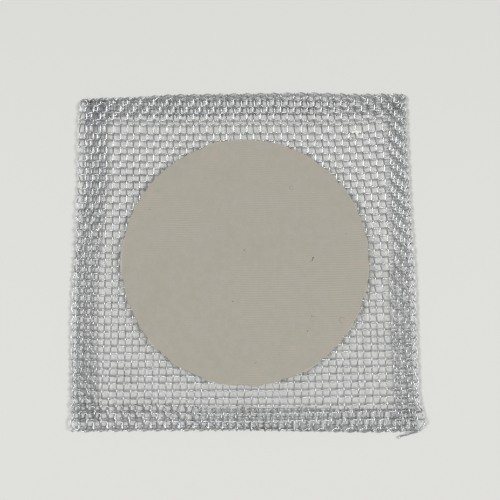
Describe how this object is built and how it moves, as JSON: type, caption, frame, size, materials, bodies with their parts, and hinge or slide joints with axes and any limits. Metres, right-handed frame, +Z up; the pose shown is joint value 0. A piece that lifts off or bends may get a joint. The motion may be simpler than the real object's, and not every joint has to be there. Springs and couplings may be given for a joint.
{
  "type": "wire gauze",
  "caption": "Square of plain-woven crimped wire cloth with its edges folded under and a flat white ceramic disc pressed through its middle, to spread a burner's heat under glassware.",
  "frame": {"origin": "under the middle of the gauze, on the surface that its lowest wires rest on", "axes": "+X to the right edge, +Y to the back edge, +Z up through the ceramic disc"},
  "size_m": [0.1248, 0.1252, 0.0037],
  "materials": {
    "wire": "bright galvanised steel wire, drawn and crimped",
    "ceramic": "dry off-white ceramic fibre, matt, slightly speckled"
  },
  "bodies": {
    "root": {"weft_1": "wire", "weft_2": "wire", "weft_3": "wire", "weft_4": "wire", "weft_5": "wire", "weft_6": "wire", "weft_7": "wire", "weft_8": "wire", "weft_9": "wire", "weft_10": "wire", "weft_11": "wire", "weft_12": "wire", "weft_13": "wire", "weft_14": "wire", "weft_15": "wire", "weft_16": "wire", "weft_17": "wire", "weft_18": "wire", "weft_19": "wire", "weft_20": "wire", "weft_21": "wire", "weft_22": "wire", "weft_23": "wire", "warp_1": "wire", "warp_2": "wire", "warp_3": "wire", "warp_4": "wire", "warp_5": "wire", "warp_6": "wire", "warp_7": "wire", "warp_8": "wire", "warp_9": "wire", "warp_10": "wire", "warp_11": "wire", "warp_12": "wire", "warp_13": "wire", "warp_14": "wire", "warp_15": "wire", "warp_16": "wire", "warp_17": "wire", "warp_18": "wire", "warp_19": "wire", "warp_20": "wire", "warp_21": "wire", "warp_22": "wire", "warp_23": "wire", "warp_24": "wire", "hem_left": "wire", "hem_right": "wire", "hem_front": "wire", "hem_back": "wire", "ceramic_disc": "ceramic"}
  },
  "joints": []
}
